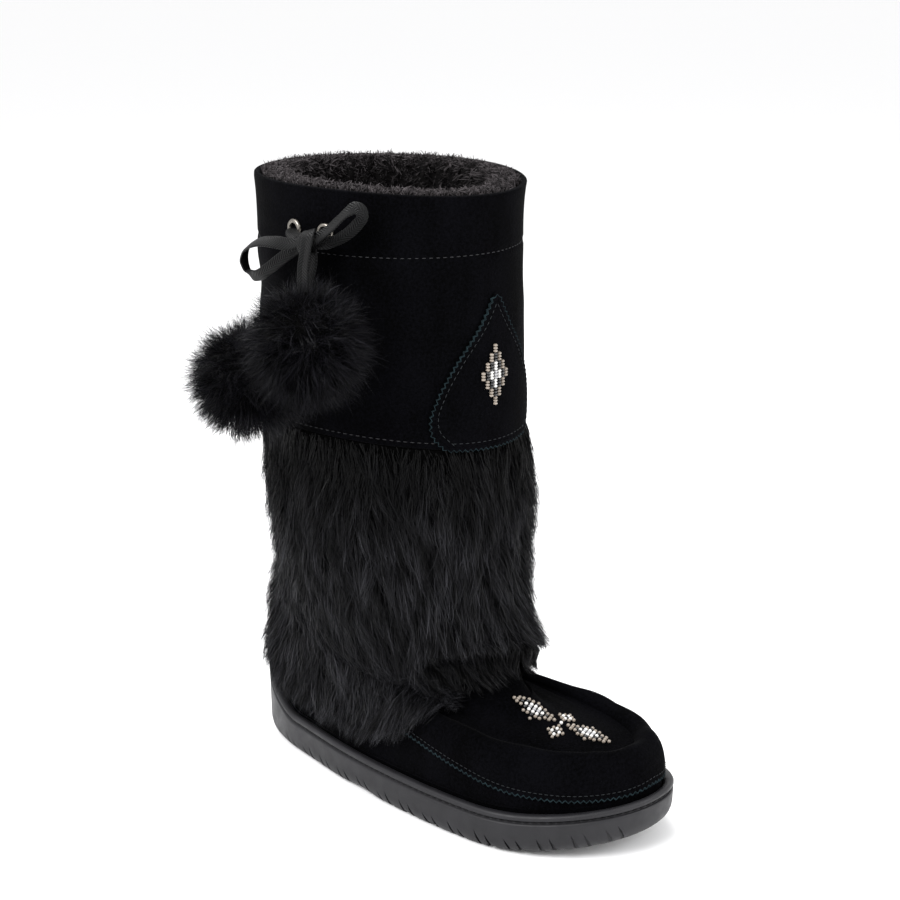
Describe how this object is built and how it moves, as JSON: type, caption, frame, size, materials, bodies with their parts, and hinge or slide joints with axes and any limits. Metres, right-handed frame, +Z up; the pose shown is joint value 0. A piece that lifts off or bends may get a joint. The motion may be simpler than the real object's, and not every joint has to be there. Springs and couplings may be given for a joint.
{
  "type": "mukluk boot",
  "caption": "Mid-calf winter boot with a rubber cup sole, moccasin front, long-haired fur sleeve, suede shaft top with a beaded patch, drawstring bow and fur pompoms.",
  "frame": {"origin": "on the floor, on the heel's flat tread, 45 mm ahead of the back of the sole", "axes": "+Z up, +Y towards the toe, +X towards the outer side of the foot"},
  "size_m": [0.1889, 0.28, 0.3497],
  "materials": {
    "suede": "near-black suede with a short nap",
    "rubber": "satin charcoal moulded rubber",
    "insole_felt": "dark felt",
    "fur": "long black fur",
    "nickel": "nickel plated",
    "waxed_lace": "waxed woven dark grey lace"
  },
  "bodies": {
    "root": {"outsole": "rubber", "insole": "insole_felt", "upper": "suede", "vamp_wrap": "suede", "plug": "suede", "heel_counter": "suede", "fur_shaft": "fur", "leaf_patch": "suede", "eyelet_front": "nickel", "eyelet_rear": "nickel", "lace_leg_rear": "waxed_lace", "lace_leg_front": "waxed_lace", "lace_knot": "waxed_lace", "lace_loop_front": "waxed_lace", "lace_loop_rear": "waxed_lace", "lace_end_front": "waxed_lace", "lace_end_rear": "waxed_lace", "pompom_front": "fur", "pompom_rear": "fur"}
  },
  "joints": []
}
